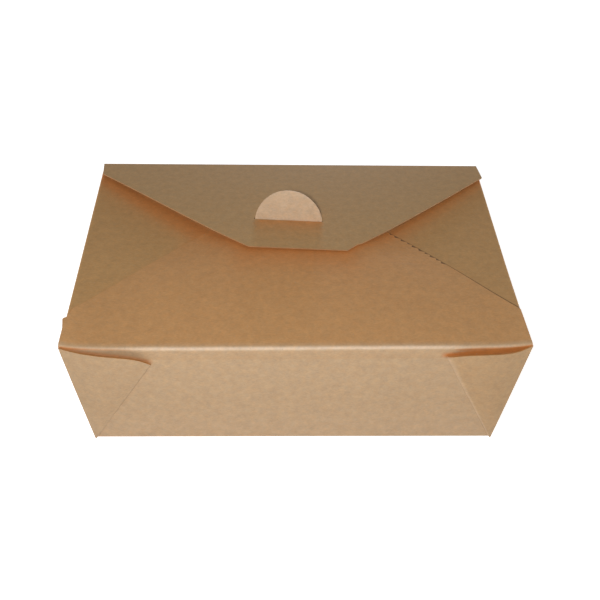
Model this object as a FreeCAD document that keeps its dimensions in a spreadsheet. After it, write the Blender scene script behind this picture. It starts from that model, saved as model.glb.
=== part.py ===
import FreeCAD, Part
import math
import os
import Sketcher

# Takeaway box, folded from one sheet of kraft board. Millimetres, +Z up.
# The origin is the middle of the base's underside. The front wall faces -Y, and the crease of
# the lid is at +Y.

doc = FreeCAD.newDocument("takeaway_box")
sheet = doc.addObject("Spreadsheet::Sheet", "Sizes")
size_names = []


def size(name, value):
    """Writes one size into the sheet, names its cell, and hands the number back."""
    size_names.append(name)
    row = len(size_names)
    sheet.set("A%d" % row, name)
    sheet.set("B%d" % row, repr(float(value)))
    sheet.setAlias("B%d" % row, name)
    return float(value)


# The tray: outer sizes at the base and at the rim, and the board
base_length = size("base_length", 197.0)
base_width = size("base_width", 140.0)
rim_length = size("rim_length", 214.5)
rim_width = size("rim_width", 157.5)
rim_height = size("rim_height", 68.0)
ground = size("ground", 0.0)
board = size("board", 0.5)
crease_round = size("crease_round", 1.2)
crease_inside = size("crease_inside", crease_round - board)
base_round = size("base_round", 0.8)
base_inside = size("base_inside", base_round - board)
ply_gap = size("ply_gap", 0.3)
edge_gap = size("edge_gap", 0.3)

# The two side flaps, which lie lowest
side_reach = size("side_reach", 72.0)
side_splay = size("side_splay", 9.0)
side_corner = size("side_corner", 12.0)

# The front flap and the tongue at its end
tongue_half = size("tongue_half", 17.6)
tongue_offset = size("tongue_offset", -2.5)
tongue_rise = size("tongue_rise", 0.6)
front_shoulder = size("front_shoulder", 29.0)
front_end_half = size("front_end_half", 40.0)
flap_corner = size("flap_corner", 3.0)

# The lid flap and its slot
slot_reach = size("slot_reach", 59.0)
slot_play = size("slot_play", 0.8)
slot_side_gap = size("slot_side_gap", 0.8)
lid_reach = size("lid_reach", 85.0)
lid_shoulder = size("lid_shoulder", 14.0)
lid_end_half = size("lid_end_half", 25.0)
lid_end_offset = size("lid_end_offset", 1.5)
lid_corner = size("lid_corner", 1.5)
lid_lift = size("lid_lift", 1.4)
lid_bow = size("lid_bow", 0.7)

# The webs folded over at the four corners
fold_length = size("fold_length", 64.0)
fold_press = size("fold_press", 0.1)
fold_stack = size("fold_stack", 2 * board - fold_press)
web_bulge = size("web_bulge", 3.2)
web_crown = size("web_crown", 3.0)
web_drop = size("web_drop", 1.6)
web_foot = size("web_foot", 2.0)

# How far the walls lean out, and the long walls' height along their slope
lean_out = (rim_width - base_width) / 2
lean_along = (rim_length - base_length) / 2
long_slant = math.hypot(rim_height, lean_out)
short_slant = math.hypot(rim_height, lean_along)
wall_lean = math.degrees(math.atan2(lean_out, rim_height))
wall_skin = size("wall_skin", board / math.cos(math.radians(wall_lean)))
end_skin = size("end_skin", board * short_slant / rim_height)

# The levels of the plies at the rim, from the lid's middle plane down
hinge_y = size("hinge_y", rim_width / 2 - board / 2)
front_top = size("front_top", rim_height - board / 2 - ply_gap)
side_top = size("side_top", front_top - board - ply_gap)
tray_top = size("tray_top", side_top - board - crease_round)
back_top = size("back_top", rim_height - board / 2 - ply_gap / 2)
slot_y = size("slot_y", hinge_y - slot_reach)
tongue_foot = size("tongue_foot", rim_height + tongue_rise)


def out_x(level):
    """Outer half length of the tray at a height."""
    return base_length / 2 + lean_along * level / rim_height


def out_y(level):
    """Outer half width of the tray at a height."""
    return base_width / 2 + lean_out * level / rim_height


tray_top_x = size("tray_top_x", out_x(tray_top))
tray_top_y = size("tray_top_y", out_y(tray_top))
side_top_x = size("side_top_x", out_x(side_top))
side_under_x = size("side_under_x", out_x(side_top - board))
front_top_y = size("front_top_y", out_y(front_top))
front_under_y = size("front_under_y", out_y(front_top - board))
back_top_y = size("back_top_y", out_y(back_top))
inside_foot_x = size("inside_foot_x", out_x(board) - end_skin)
inside_foot_y = size("inside_foot_y", out_y(board) - wall_skin)
flap_half = size("flap_half", rim_length / 2 - edge_gap)
strip_half = size("strip_half", rim_width / 2 - edge_gap)
tuck_half = size("tuck_half", tray_top_y - wall_skin - edge_gap)
tuck_x = size("tuck_x", side_under_x - end_skin - crease_round)
side_tip_x = size("side_tip_x", rim_length / 2 - side_reach)
side_tip_half = size("side_tip_half", tuck_half - side_reach * math.tan(math.radians(side_splay)))

# The web's angle is what the base's and the two walls' corners leave of a full turn of the
# flat sheet. Its fold halves that angle.
corner_lean = math.degrees(math.atan2(lean_along, long_slant))
end_lean = math.degrees(math.atan2(lean_out, short_slant))
half_web = (90 - corner_lean - end_lean) / 2
fold_lean = half_web - corner_lean
web_foot_x = size("web_foot_x", base_length / 2 + lean_along * web_foot / long_slant)
web_top_up = size("web_top_up", long_slant - web_drop)
web_top_x = size("web_top_x", base_length / 2 + lean_along * web_top_up / long_slant)
web_tip_x = size("web_tip_x", base_length / 2 - fold_length * math.sin(math.radians(fold_lean)))
web_tip_up = size("web_tip_up", fold_length * math.cos(math.radians(fold_lean)))
web_heel_x = size("web_heel_x", base_length / 2 - web_foot * math.sin(math.radians(fold_lean)))
web_heel_up = size("web_heel_up", web_foot * math.cos(math.radians(fold_lean)))

# The cone that the web's outer half lies on. Its half angle and the dip of its axis follow from
# the web's angle and from how far the web stands off the wall.
web_rise = math.atan2(web_bulge, fold_length * math.cos(math.radians(half_web / 2)))
cone_dip = math.atan2(math.cos(web_rise) - math.cos(math.radians(half_web / 2)), math.sin(web_rise))
cone_angle = cone_dip + web_rise
cone_length = size("cone_length", long_slant)
cone_mouth = size("cone_mouth", long_slant * math.tan(cone_angle))
doc.recompute()


def plane(body, role):
    """One of a body's own origin planes."""
    for feature in body.Origin.OriginFeatures:
        if feature.Role == role:
            return feature
    raise ValueError(role)


def close(one, other):
    return abs(one - other) < 0.001


def number(formula):
    """The value of a formula in the sheet's names."""
    return float(sheet.evalExpression(formula))


def tie(sketch, constraint, formula):
    """Adds a constraint and ties its value to a formula."""
    index = sketch.addConstraint(constraint)
    sketch.setExpression("Constraints[%d]" % index, formula.replace("$", "Sizes."))


def outline(body, name, role, corners, arcs=None):
    """A closed sketch on an origin plane, its corners given counterclockwise as formulas.

    A formula writes $ before each name from the sheet. A side listed in arcs, by the number of
    the corner that it starts from, is an arc that stands out by that height, or in if negative.
    A side that is a half circle has the word half there.
    """
    arcs = arcs or {}
    sketch = body.newObject("Sketcher::SketchObject", name)
    sketch.AttachmentSupport = (plane(body, role), [""])
    sketch.MapMode = "FlatFace"
    points = []
    for across, up in corners:
        points.append(FreeCAD.Vector(number(across.replace("$", "")), number(up.replace("$", "")), 0))
    count = len(points)
    for side, start in enumerate(points):
        end = points[(side + 1) % count]
        if side in arcs:
            chord = end - start
            outward = FreeCAD.Vector(chord.y, -chord.x, 0).normalize()
            height = chord.Length / 2
            if arcs[side] != "half":
                height = number(arcs[side].replace("$", ""))
            middle = (start + end) / 2 + outward * height
            sketch.addGeometry(Part.ArcOfCircle(start, middle, end), False)
        else:
            sketch.addGeometry(Part.LineSegment(start, end), False)
    ends = []
    for side, start in enumerate(points):
        reversed_arc = (sketch.getPoint(side, 1) - start).Length > (sketch.getPoint(side, 2) - start).Length
        ends.append((2, 1) if reversed_arc else (1, 2))
    for side, corner in enumerate(corners):
        following = (side + 1) % count
        sketch.addConstraint(
            Sketcher.Constraint("Coincident", side, ends[side][1], following, ends[following][0]))
        first = ends[side][0]
        tie(sketch, Sketcher.Constraint("DistanceX", -1, 1, side, first, points[side].x), corner[0])
        tie(sketch, Sketcher.Constraint("DistanceY", -1, 1, side, first, points[side].y), corner[1])
        if side in arcs and arcs[side] == "half":
            level = close(points[side].y, points[following].y)
            kind = "DistanceY" if level else "DistanceX"
            centre = sketch.getPoint(side, 3)
            value = centre.y if level else centre.x
            tie(sketch, Sketcher.Constraint(kind, -1, 1, side, 3, value), corner[1 if level else 0])
        elif side in arcs:
            after = corners[following]
            chord = "(%s - (%s))^2 + (%s - (%s))^2" % (after[0], corner[0], after[1], corner[1])
            height = "abs(%s)" % arcs[side]
            radius = "(%s) / (8 * %s) + %s / 2" % (chord, height, height)
            tie(sketch, Sketcher.Constraint("Radius", side, sketch.Geometry[side].Radius), radius)
    return sketch


def new_body(name):
    return doc.addObject("PartDesign::Body", name)


def pad(body, name, sketch, length, both_ways=False):
    """A sketch given depth, one way or evenly both ways."""
    feature = body.newObject("PartDesign::Pad", name)
    feature.Profile = sketch
    feature.setExpression("Length", length.replace("$", "Sizes."))
    if both_ways:
        feature.SideType = "Symmetric"
    return feature


def edges_where(feature, test):
    """The names of a feature's straight edges whose two ends pass a test."""
    names = []
    for index, edge in enumerate(feature.Shape.Edges):
        if edge.Degenerated or not isinstance(edge.Curve, Part.Line):
            continue
        if test(edge.Vertexes[0].Point, edge.Vertexes[1].Point):
            names.append("Edge%d" % (index + 1))
    return names


def round_off(body, name, feature, edges, radius):
    """Rounds some edges of the body's last feature."""
    fillet = body.newObject("PartDesign::Fillet", name)
    fillet.Base = (feature, edges)
    fillet.setExpression("Radius", "Sizes." + radius)
    doc.recompute()
    return fillet


def common(name, first, second):
    both = doc.addObject("Part::MultiCommon", name)
    both.Shapes = [first, second]
    return both


def tapered_block(body, kind, name, foot, foot_x, foot_y, top_x, top_y):
    """A block from the height foot to the tray's top, its half lengths and widths given."""
    block = body.newObject(kind, name)
    block.AttachmentSupport = (plane(body, "XZ_Plane"), [""])
    block.MapMode = "FlatFace"
    for side, formula in (
            ("Xmin", "-(%s)" % foot_x), ("Xmax", foot_x), ("Zmin", "-(%s)" % foot_y), ("Zmax", foot_y),
            ("X2min", "-(%s)" % top_x), ("X2max", top_x), ("Z2min", "-(%s)" % top_y), ("Z2max", top_y),
            ("Ymin", foot), ("Ymax", "$tray_top")):
        block.setExpression(side, formula.replace("$", "Sizes."))
    doc.recompute()
    return block


def make_tray():
    """The base and the lower part of the four walls, with rounded creases between them."""
    body = new_body("Tray")
    tapered_block(body, "PartDesign::AdditiveWedge", "Outside", "$ground",
                  "$base_length / 2", "$base_width / 2", "$tray_top_x", "$tray_top_y")
    walls = tapered_block(body, "PartDesign::SubtractiveWedge", "Inside", "$board",
                          "$inside_foot_x", "$inside_foot_y",
                          "$tray_top_x - $end_skin", "$tray_top_y - $wall_skin")
    outer = edges_where(walls, lambda a, b: close(min(a.z, b.z), 0))
    rounded = round_off(body, "Creases", walls, outer, "base_round")
    inner = edges_where(rounded, lambda a, b: close(min(a.z, b.z), board)
                        and close(abs(a.x if a.z < b.z else b.x), inside_foot_x))
    round_off(body, "CreasesInside", rounded, inner, "base_inside")
    return body


def bent_flap(name, role, section, half, outer, inner, plan, tips, tip_round):
    """A flap with its crease and the strip of wall below it.

    section is the sheet seen along the crease, outer and inner test the crease's two edges,
    plan is the flap's outline seen from above, and tips tests the corners to round in it.
    """
    profile = new_body(name + "Profile")
    bend = pad(profile, name + "Bend", outline(profile, name + "Section", role, section),
               "2 * " + half, both_ways=True)
    doc.recompute()
    bend = round_off(profile, name + "Crease", bend, edges_where(bend, outer), "crease_round")
    round_off(profile, name + "Inside", bend, edges_where(bend, inner), "crease_inside")
    cutter = new_body(name + "Plan")
    block = pad(cutter, name + "Block", outline(cutter, name + "Outline", "XY_Plane", plan),
                "2 * $rim_height")
    doc.recompute()
    round_off(cutter, name + "Corners", block, edges_where(block, tips), tip_round)
    return common(name, profile, cutter)


def make_front_flap():
    """The top of the front wall, its crease, and the flap up to the tongue's root."""
    inner_y = wall_skin - front_under_y
    return bent_flap(
        "FrontFlap", "YZ_Plane",
        [("-$tray_top_y", "$tray_top"), ("-$tray_top_y + $wall_skin", "$tray_top"),
         ("-$front_under_y + $wall_skin", "$front_top - $board"),
         ("$slot_y + $board / 2", "$front_top - $board"), ("$slot_y + $board / 2", "$front_top"),
         ("-$front_top_y", "$front_top")],
        "$flap_half",
        lambda a, b: close(a.y, -front_top_y) and close(b.y, -front_top_y),
        lambda a, b: close(a.y, inner_y) and close(b.y, inner_y),
        [("-$flap_half", "-$rim_width"), ("$flap_half", "-$rim_width"),
         ("$flap_half", "$front_shoulder - $rim_width / 2"),
         ("$front_end_half", "$slot_y + $board / 2"), ("-$front_end_half", "$slot_y + $board / 2"),
         ("-$flap_half", "$front_shoulder - $rim_width / 2")],
        lambda a, b: close(abs(a.x), front_end_half) and close(a.x, b.x) and close(a.y, b.y),
        "flap_corner")


def make_side_flap():
    """The top of the right end wall, its crease, and the flap that tucks in below the others."""
    inner_x = side_under_x - end_skin
    return bent_flap(
        "SideFlap", "XZ_Plane",
        [("$side_tip_x", "$side_top - $board"), ("$side_under_x - $end_skin", "$side_top - $board"),
         ("$tray_top_x - $end_skin", "$tray_top"), ("$tray_top_x", "$tray_top"),
         ("$side_top_x", "$side_top"), ("$side_tip_x", "$side_top")],
        "$strip_half",
        lambda a, b: close(a.x, side_top_x) and close(b.x, side_top_x),
        lambda a, b: close(a.x, inner_x) and close(b.x, inner_x),
        [("$side_tip_x", "-$side_tip_half"), ("$tuck_x", "-$tuck_half"), ("$tuck_x", "-$strip_half"),
         ("$rim_length", "-$strip_half"), ("$rim_length", "$strip_half"), ("$tuck_x", "$strip_half"),
         ("$tuck_x", "$tuck_half"), ("$side_tip_x", "$side_tip_half")],
        lambda a, b: close(a.x, side_tip_x) and close(a.x, b.x) and close(a.y, b.y),
        "side_corner")


def make_back_strip():
    """The top of the back wall, which ends just under the lid's crease."""
    body = new_body("BackStrip")
    section = outline(body, "BackSection", "YZ_Plane", [
        ("$tray_top_y - $wall_skin", "$tray_top"), ("$tray_top_y", "$tray_top"),
        ("$back_top_y", "$back_top"), ("$back_top_y - $wall_skin", "$back_top")])
    pad(body, "BackWallTop", section, "2 * $flap_half", both_ways=True)
    return body


def tube_about_hinge(name, radius):
    """A cylinder about the lid's crease."""
    cylinder = doc.addObject("Part::Cylinder", name)
    cylinder.setExpression("Radius", "Sizes.slot_reach" + radius)
    cylinder.setExpression("Height", "Sizes.rim_length")
    along_x = FreeCAD.Rotation(FreeCAD.Vector(0, 1, 0), 90)
    cylinder.Placement = FreeCAD.Placement(FreeCAD.Vector(-rim_length / 2, hinge_y, rim_height), along_x)
    return cylinder


def make_tongue():
    """The half moon on its short stem at the front flap's end.

    It is curved about the lid's crease, so that the slot swings off it without touching.
    """
    tube = doc.addObject("Part::Cut", "TongueTube")
    tube.Base = tube_about_hinge("TongueFront", " + Sizes.board / 2")
    tube.Tool = tube_about_hinge("TongueBack", " - Sizes.board / 2")
    moon = new_body("HalfMoon")
    shape = outline(moon, "HalfMoonOutline", "XZ_Plane", [
        ("$tongue_offset - $tongue_half", "$front_top - $board"),
        ("$tongue_offset + $tongue_half", "$front_top - $board"),
        ("$tongue_offset + $tongue_half", "$tongue_foot"),
        ("$tongue_offset - $tongue_half", "$tongue_foot")], {2: "half"})
    pad(moon, "HalfMoonBlock", shape, "2 * $slot_reach", both_ways=True)
    return common("Tongue", tube, moon)


def web_block(name, outward, inward):
    """The folded web's outline given depth, drawn on the front wall's outer face."""
    body = new_body(name)
    shape = outline(body, name + "Outline", "XY_Plane", [
        ("$web_heel_x", "$web_heel_up"), ("$web_foot_x", "$web_foot"),
        ("$web_top_x", "$web_top_up"), ("$web_tip_x", "$web_tip_up")], {2: "$web_crown"})
    block = pad(body, name + "Pad", shape, outward)
    block.SideType = "Two sides"
    block.setExpression("Length2", inward.replace("$", "Sizes."))
    body.Placement = wall_frame
    return body


# The front wall's outer face: across, up its slope, and outwards
wall_frame = FreeCAD.Placement(
    FreeCAD.Vector(0, -base_width / 2, 0),
    FreeCAD.Rotation(FreeCAD.Vector(1, 0, 0), 90 + wall_lean))


def web_cone(name, sunk):
    """A cone with its point at the tray's lower corner, sunk below the web's own surface.

    Paper that is bent about a corner lies on a cone.
    """
    middle = math.radians((fold_lean - corner_lean) / 2)
    axis = FreeCAD.Vector(-math.sin(middle) * math.cos(cone_dip),
                          math.cos(middle) * math.cos(cone_dip), -math.sin(cone_dip))
    point = FreeCAD.Vector(base_length / 2, 0, fold_stack) + axis * (sunk / math.sin(cone_angle))
    cone = doc.addObject("Part::Cone", name)
    cone.Radius1 = 0
    cone.setExpression("Radius2", "Sizes.cone_mouth")
    cone.setExpression("Height", "Sizes.cone_length")
    local = FreeCAD.Placement(point, FreeCAD.Rotation(FreeCAD.Vector(0, 0, 1), axis))
    cone.Placement = wall_frame.multiply(local)
    return cone


def make_web():
    """The web folded over the front wall's right end.

    Its inner half lies on the wall and is sealed to it. Its outer half comes round the corner
    from the end wall and stands off in a shallow cone, which leaves a pocket open at the top.
    """
    inner = web_block("WebInner", "$board", "$board / 2")
    trim = web_block("WebTrim", "3 * $web_bulge", "$board / 2")
    bent_sheet = doc.addObject("Part::Cut", "WebCone")
    bent_sheet.Base = web_cone("WebConeOutside", 0)
    bent_sheet.Tool = web_cone("WebConeInside", board)
    outer = common("WebOuter", trim, bent_sheet)
    web = doc.addObject("Part::MultiFuse", "Web")
    web.Shapes = [inner, outer]
    return web


def mirrored(name, source, normal):
    """A copy on the other side of the middle of the tray."""
    copy = doc.addObject("Part::Mirroring", name)
    copy.Source = source
    copy.Normal = normal
    return copy


def make_box_body():
    """The folded blank without its lid flap: one sheet, so one solid."""
    across = FreeCAD.Vector(1, 0, 0)
    along = FreeCAD.Vector(0, 1, 0)
    side_flap = make_side_flap()
    web = make_web()
    web_left = mirrored("WebLeft", web, across)
    blank = doc.addObject("Part::MultiFuse", "BoxBody")
    blank.Shapes = [
        make_tray(), make_front_flap(), make_tongue(), make_back_strip(),
        side_flap, mirrored("SideFlapLeft", side_flap, across),
        web, web_left, mirrored("WebBack", web, along), mirrored("WebBackLeft", web_left, along)]
    blank.Refine = True
    blank.Label = "box_body"
    return blank


def make_lid_flap():
    """The flap that closes last, with the slot for the tongue. Its root is a half round."""
    profile = new_body("LidProfile")
    section = outline(profile, "LidSection", "YZ_Plane", [
        ("$hinge_y - $lid_reach", "$rim_height + $lid_lift - $board / 2"),
        ("$hinge_y", "$rim_height - $board / 2"), ("$hinge_y", "$rim_height + $board / 2"),
        ("$hinge_y - $lid_reach", "$rim_height + $lid_lift + $board / 2")],
        {0: "-$lid_bow", 1: "half", 2: "$lid_bow"})
    pad(profile, "LidSheet", section, "2 * $flap_half", both_ways=True)
    plan = new_body("LidPlan")
    shape = outline(plan, "LidOutline", "XY_Plane", [
        ("$lid_end_offset - $lid_end_half", "$hinge_y - $lid_reach"),
        ("$lid_end_offset + $lid_end_half", "$hinge_y - $lid_reach"),
        ("$flap_half", "$hinge_y - $lid_shoulder"), ("$flap_half", "$hinge_y + $board"),
        ("-$flap_half", "$hinge_y + $board"), ("-$flap_half", "$hinge_y - $lid_shoulder")])
    block = pad(plan, "LidBlock", shape, "2 * $rim_height")
    doc.recompute()
    end_y = hinge_y - lid_reach
    tips = edges_where(block, lambda a, b: close(a.y, end_y) and close(b.y, end_y) and close(a.x, b.x))
    round_off(plan, "LidCorners", block, tips, "lid_corner")
    slot = outline(plan, "SlotOutline", "XY_Plane", [
        ("$tongue_offset - $tongue_half - $slot_side_gap", "$slot_y - $board / 2 - $slot_play"),
        ("$tongue_offset + $tongue_half + $slot_side_gap", "$slot_y - $board / 2 - $slot_play"),
        ("$tongue_offset + $tongue_half + $slot_side_gap", "$slot_y + $board / 2 + $slot_play"),
        ("$tongue_offset - $tongue_half - $slot_side_gap", "$slot_y + $board / 2 + $slot_play")])
    cut = plan.newObject("PartDesign::Pocket", "Slot")
    cut.Profile = slot
    cut.Reversed = True
    cut.setExpression("Length", "2 * Sizes.rim_height")
    lid = common("LidFlap", profile, plan)
    lid.Label = "lid_flap"
    return lid


def check(parts):
    """Stops if a feature failed or a sub-part isn't one sound solid."""
    for feature in doc.Objects:
        if "Invalid" in feature.State or "Error" in feature.State:
            raise RuntimeError("%s failed" % feature.Name)
    for part in parts:
        shape = part.Shape
        if shape.isNull() or not shape.isValid() or len(shape.Solids) != 1:
            raise RuntimeError("%s is not one valid solid" % part.Label)
        print("%s: %.0f cubic mm, %d faces" % (part.Label, shape.Volume, len(shape.Faces)))


sub_parts = [make_box_body(), make_lid_flap()]
doc.recompute()
check(sub_parts)
os.makedirs("parts", exist_ok=True)
for sub_part in sub_parts:
    sub_part.Shape.exportStep("parts/%s.step" % sub_part.Label)
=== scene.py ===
# %% [markdown]
# # A takeaway box folded from one sheet of kraft board
#
# The real box is a flat blank of brown board, half a millimetre thick. Creases fold it into a
# tapered tray, the corners become double webs on the outside of the long walls, and four flaps
# close the top. A half-moon tongue on the front flap locks through a slot in the lid.
#
# Everything here is therefore a sheet: each piece is drawn as the middle surface of the board and
# gets its thickness at the end. Lengths are written in millimetres times MM.

# %% The frame
import math

import bmesh
import bpy
from mathutils import Matrix, Vector


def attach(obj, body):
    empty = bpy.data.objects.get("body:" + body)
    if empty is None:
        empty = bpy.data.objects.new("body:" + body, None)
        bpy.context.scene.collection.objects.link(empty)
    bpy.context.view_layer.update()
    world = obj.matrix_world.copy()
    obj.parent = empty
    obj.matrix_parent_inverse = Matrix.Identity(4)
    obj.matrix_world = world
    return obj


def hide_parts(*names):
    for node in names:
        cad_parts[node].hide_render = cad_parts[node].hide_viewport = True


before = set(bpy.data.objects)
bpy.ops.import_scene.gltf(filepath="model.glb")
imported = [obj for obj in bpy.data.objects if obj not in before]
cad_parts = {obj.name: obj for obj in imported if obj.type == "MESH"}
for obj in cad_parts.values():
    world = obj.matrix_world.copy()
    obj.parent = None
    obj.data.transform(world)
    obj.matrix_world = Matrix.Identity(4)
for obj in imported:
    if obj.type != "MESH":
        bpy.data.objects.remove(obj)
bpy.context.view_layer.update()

# %% [markdown]
# ## Sizes
#
# The tray leans out by the same amount on all four sides, so one lean serves every wall. The
# sizes are those of the solid model, and the levels of the flaps follow the order in which they
# are folded: side flaps lowest, then the front flap, then the lid.

# %% Sizes of the folded box
MM = 0.001
BOARD = 0.5 * MM
BASE_X, BASE_Y = 98.5 * MM, 70.0 * MM  # half length and half width of the base
RIM_Z = 68.0 * MM
LEAN_RUN = 8.75 * MM  # how far each wall leans out over the full height
LEAN = math.atan2(LEAN_RUN, RIM_Z)
CREASE_R = 0.95 * MM  # middle surface's radius at the rim's creases
FOOT_R = 0.55 * MM  # and at the base's creases
FOOT_Z = BOARD / 2 + FOOT_R  # height of the base creases' centres
FRONT_Z, SIDE_Z = 67.2 * MM, 66.4 * MM  # levels of the front flap and the side flaps
HINGE_Y, HINGE_Z = 78.5 * MM, 68.0 * MM  # the lid's crease


def wall_at(foot, z, inset=0.0):
    """How far out a wall's outer face is at a height, less an inset square to the wall."""
    return foot + LEAN_RUN * z / RIM_Z - inset / math.cos(LEAN)


print("walls lean %.1f degrees" % math.degrees(LEAN))

# %% [markdown]
# ## Folding a sheet
#
# A folded sheet has the same section all along a crease, so a row of points swept along that
# section makes the panel and its creases in one go. Blender's spin does both jobs: with an angle
# it makes the round of a crease, and with no angle and an offset it makes a flat run. The row
# is two units wide at first, and a taper gives each place its real width afterwards, which
# keeps every outline on the grid, however it slants.

# %% Rows, runs and bends
COLUMNS = 72  # faces across each sheet
CROWDING = 1.5  # above 1, the outer columns are narrower


def first_row(bm, y, z):
    """A row of points across the sheet, from x = -1 to x = 1."""
    start = bmesh.ops.create_vert(bm, co=(-1, y, z))["vert"]
    bmesh.ops.spin(bm, geom=start, cent=(0, 0, 0), axis=(1, 0, 0), angle=0,
                   dvec=(2 / COLUMNS, 0, 0), steps=COLUMNS)
    for vert in bm.verts:
        x = min(max(vert.co.x, -1.0), 1.0)
        vert.co.x = math.copysign(1 - (1 - abs(x)) ** CROWDING, x)
    return bm.verts[:] + bm.edges[:]


def run(bm, row, dy, dz, steps):
    """Sweeps a row along a flat panel."""
    return bmesh.ops.spin(bm, geom=row, cent=(0, 0, 0), axis=(1, 0, 0), angle=0,
                          dvec=(0, dy / steps, dz / steps), steps=steps)["geom_last"]


def bend(bm, row, y, z, angle, steps):
    """Sweeps a row round a crease whose centre is at y, z."""
    return bmesh.ops.spin(bm, geom=row, cent=(0, y, z), axis=(1, 0, 0), angle=angle,
                          dvec=(0, 0, 0), steps=steps)["geom_last"]


print("each row has %d points, closer together at its ends" % (COLUMNS + 1))

# %% A flap, the wall below it and their creases
CREASE_STEPS, FOOT_STEPS = 8, 6  # faces round a rim crease and a base crease


def fold_down(bm, row, foot, flap_end, flap_z, flap_steps, wall_steps):
    """A flap from its end to its crease, the crease, the wall below it and the base's crease."""
    crease_z = flap_z - CREASE_R
    crease_y = -wall_at(foot, crease_z, BOARD / 2 + CREASE_R)
    foot_y = -wall_at(foot, FOOT_Z, FOOT_Z)
    out_y, out_z = -math.cos(LEAN), -math.sin(LEAN)
    narrower = FOOT_R - CREASE_R
    row = run(bm, row, crease_y - flap_end, 0, flap_steps)
    row = bend(bm, row, crease_y, crease_z, math.pi / 2 + LEAN, CREASE_STEPS)
    row = run(bm, row, foot_y - crease_y + narrower * out_y,
              FOOT_Z - crease_z + narrower * out_z, wall_steps)
    return bend(bm, row, foot_y, FOOT_Z, math.pi / 2 - LEAN, FOOT_STEPS)


print("crease radius: %.2f mm at the rim, %.2f mm at the base" % (CREASE_R / MM, FOOT_R / MM))

# %% [markdown]
# ## From surface to board
#
# Solidify turns the middle surface into board of even thickness. Its rim faces get the second
# material, because a cut edge of board shows its plies instead of its smooth face. Edges that
# turn by more than 40 degrees are marked sharp after that, so the cut edges stay crisp while
# creases shade round.

# %% Making a board object
SHARP_ANGLE = math.radians(40)


def add_object(name, data):
    """Puts a mesh, a lamp or a camera into the scene."""
    thing = bpy.data.objects.new(name, data)
    bpy.context.scene.collection.objects.link(thing)
    return thing


def make_board(bm, name, face, cut):
    """An object of even thickness from a middle surface, with its cut edges as material two."""
    bmesh.ops.recalc_face_normals(bm, faces=bm.faces)
    mesh = bpy.data.meshes.new(name)
    bm.to_mesh(mesh)
    bm.free()
    piece = add_object(name, mesh)
    mesh.materials.append(bpy.data.materials[face])
    mesh.materials.append(bpy.data.materials[cut])
    thick = piece.modifiers.new("thickness", "SOLIDIFY")
    thick.thickness = BOARD
    thick.offset = 0
    thick.material_offset_rim = 1
    graph = bpy.context.evaluated_depsgraph_get()
    solid = bpy.data.meshes.new_from_object(piece.evaluated_get(graph))
    piece.modifiers.clear()
    piece.data = solid
    solid.name = name
    solid.shade_smooth()
    solid.set_sharp_from_angle(angle=SHARP_ANGLE)
    low = ["%.1f" % (min(vert.co[axis] for vert in solid.vertices) / MM) for axis in range(3)]
    high = ["%.1f" % (max(vert.co[axis] for vert in solid.vertices) / MM) for axis in range(3)]
    print("%s: %d faces, %s to %s mm" % (name, len(solid.polygons), low, high))
    return piece


print("board: %.1f mm" % (BOARD / MM))

# %% [markdown]
# ## Kraft board
#
# Kraft board is unbleached pulp: mostly one brown, with long fibres a shade lighter or darker,
# a soft cloudiness a few millimetres across, and rare dark specks. The scales are built once as
# a node group. Each material places it and picks its own tones.

# %% Adding nodes
def add_node(tree, kind, x, y, **values):
    """Adds a node at a place in the tree and sets its properties and plain inputs."""
    node = tree.nodes.new(kind)
    node.location = (x, y)
    for name, value in values.items():
        if name in node.bl_rna.properties:
            setattr(node, name, value)
        else:
            node.inputs[name.replace("_", " ")].default_value = value
    return node


def map_range(tree, x, y, value, start, end, low=0.0, high=1.0, kind="LINEAR"):
    """Goes from low to high while the value goes from start to end."""
    node = add_node(tree, "ShaderNodeMapRange", x, y, interpolation_type=kind)
    limits = {"From Min": start, "From Max": end, "To Min": low, "To Max": high}
    for name, limit in limits.items():
        node.inputs[name].default_value = limit
    tree.links.new(value, node.inputs["Value"])
    return node.outputs["Result"]


def new_group(name, outputs):
    """A node group from a position to plain values: the group, its position and its outputs."""
    tree = bpy.data.node_groups.new(name, "ShaderNodeTree")
    tree.interface.new_socket("Position", in_out="INPUT", socket_type="NodeSocketVector")
    for output in outputs:
        tree.interface.new_socket(output, in_out="OUTPUT", socket_type="NodeSocketFloat")
    position = add_node(tree, "NodeGroupInput", -1600, 0).outputs["Position"]
    return tree, position, add_node(tree, "NodeGroupOutput", 700, 0).inputs


# %% The fibre pattern as a node group
def kraft_group():
    """Mottle, fibres and specks, put out as a tone, a hue, a speck mask and a height."""
    tree, position, ends = new_group("kraft_fibre", ("Tone", "Hue", "Specks", "Height"))
    grain = add_node(tree, "ShaderNodeMapping", -700, 0, Scale=(0.5, 1.0, 1.0))
    blush, mottle, fibre, speck = [
        add_node(tree, "ShaderNodeTexNoise", -450, y, Scale=scale, Detail=detail, Roughness=rough)
        for y, scale, detail, rough in ((500, 420.0, 2.0, 0.7), (250, 260.0, 3.0, 0.6),
                                        (0, 1500.0, 4.0, 0.65), (-250, 900.0, 1.0, 0.5))]
    for node in (grain, blush, mottle, speck):
        tree.links.new(position, node.inputs["Vector"])
    tree.links.new(grain.outputs["Vector"], fibre.inputs["Vector"])
    tone = add_node(tree, "ShaderNodeMix", 0, 150, data_type="FLOAT", Factor=0.55)
    tree.links.new(mottle.outputs["Fac"], tone.inputs["A"])
    tree.links.new(fibre.outputs["Fac"], tone.inputs["B"])
    tree.links.new(tone.outputs["Result"], ends["Tone"])
    tree.links.new(blush.outputs["Fac"], ends["Hue"])
    tree.links.new(map_range(tree, -200, -250, speck.outputs["Fac"], 0.76, 0.82), ends["Specks"])
    tree.links.new(fibre.outputs["Fac"], ends["Height"])
    return tree


fibre_group = kraft_group()
print(fibre_group.name, "has", len(fibre_group.nodes), "nodes")

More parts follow.
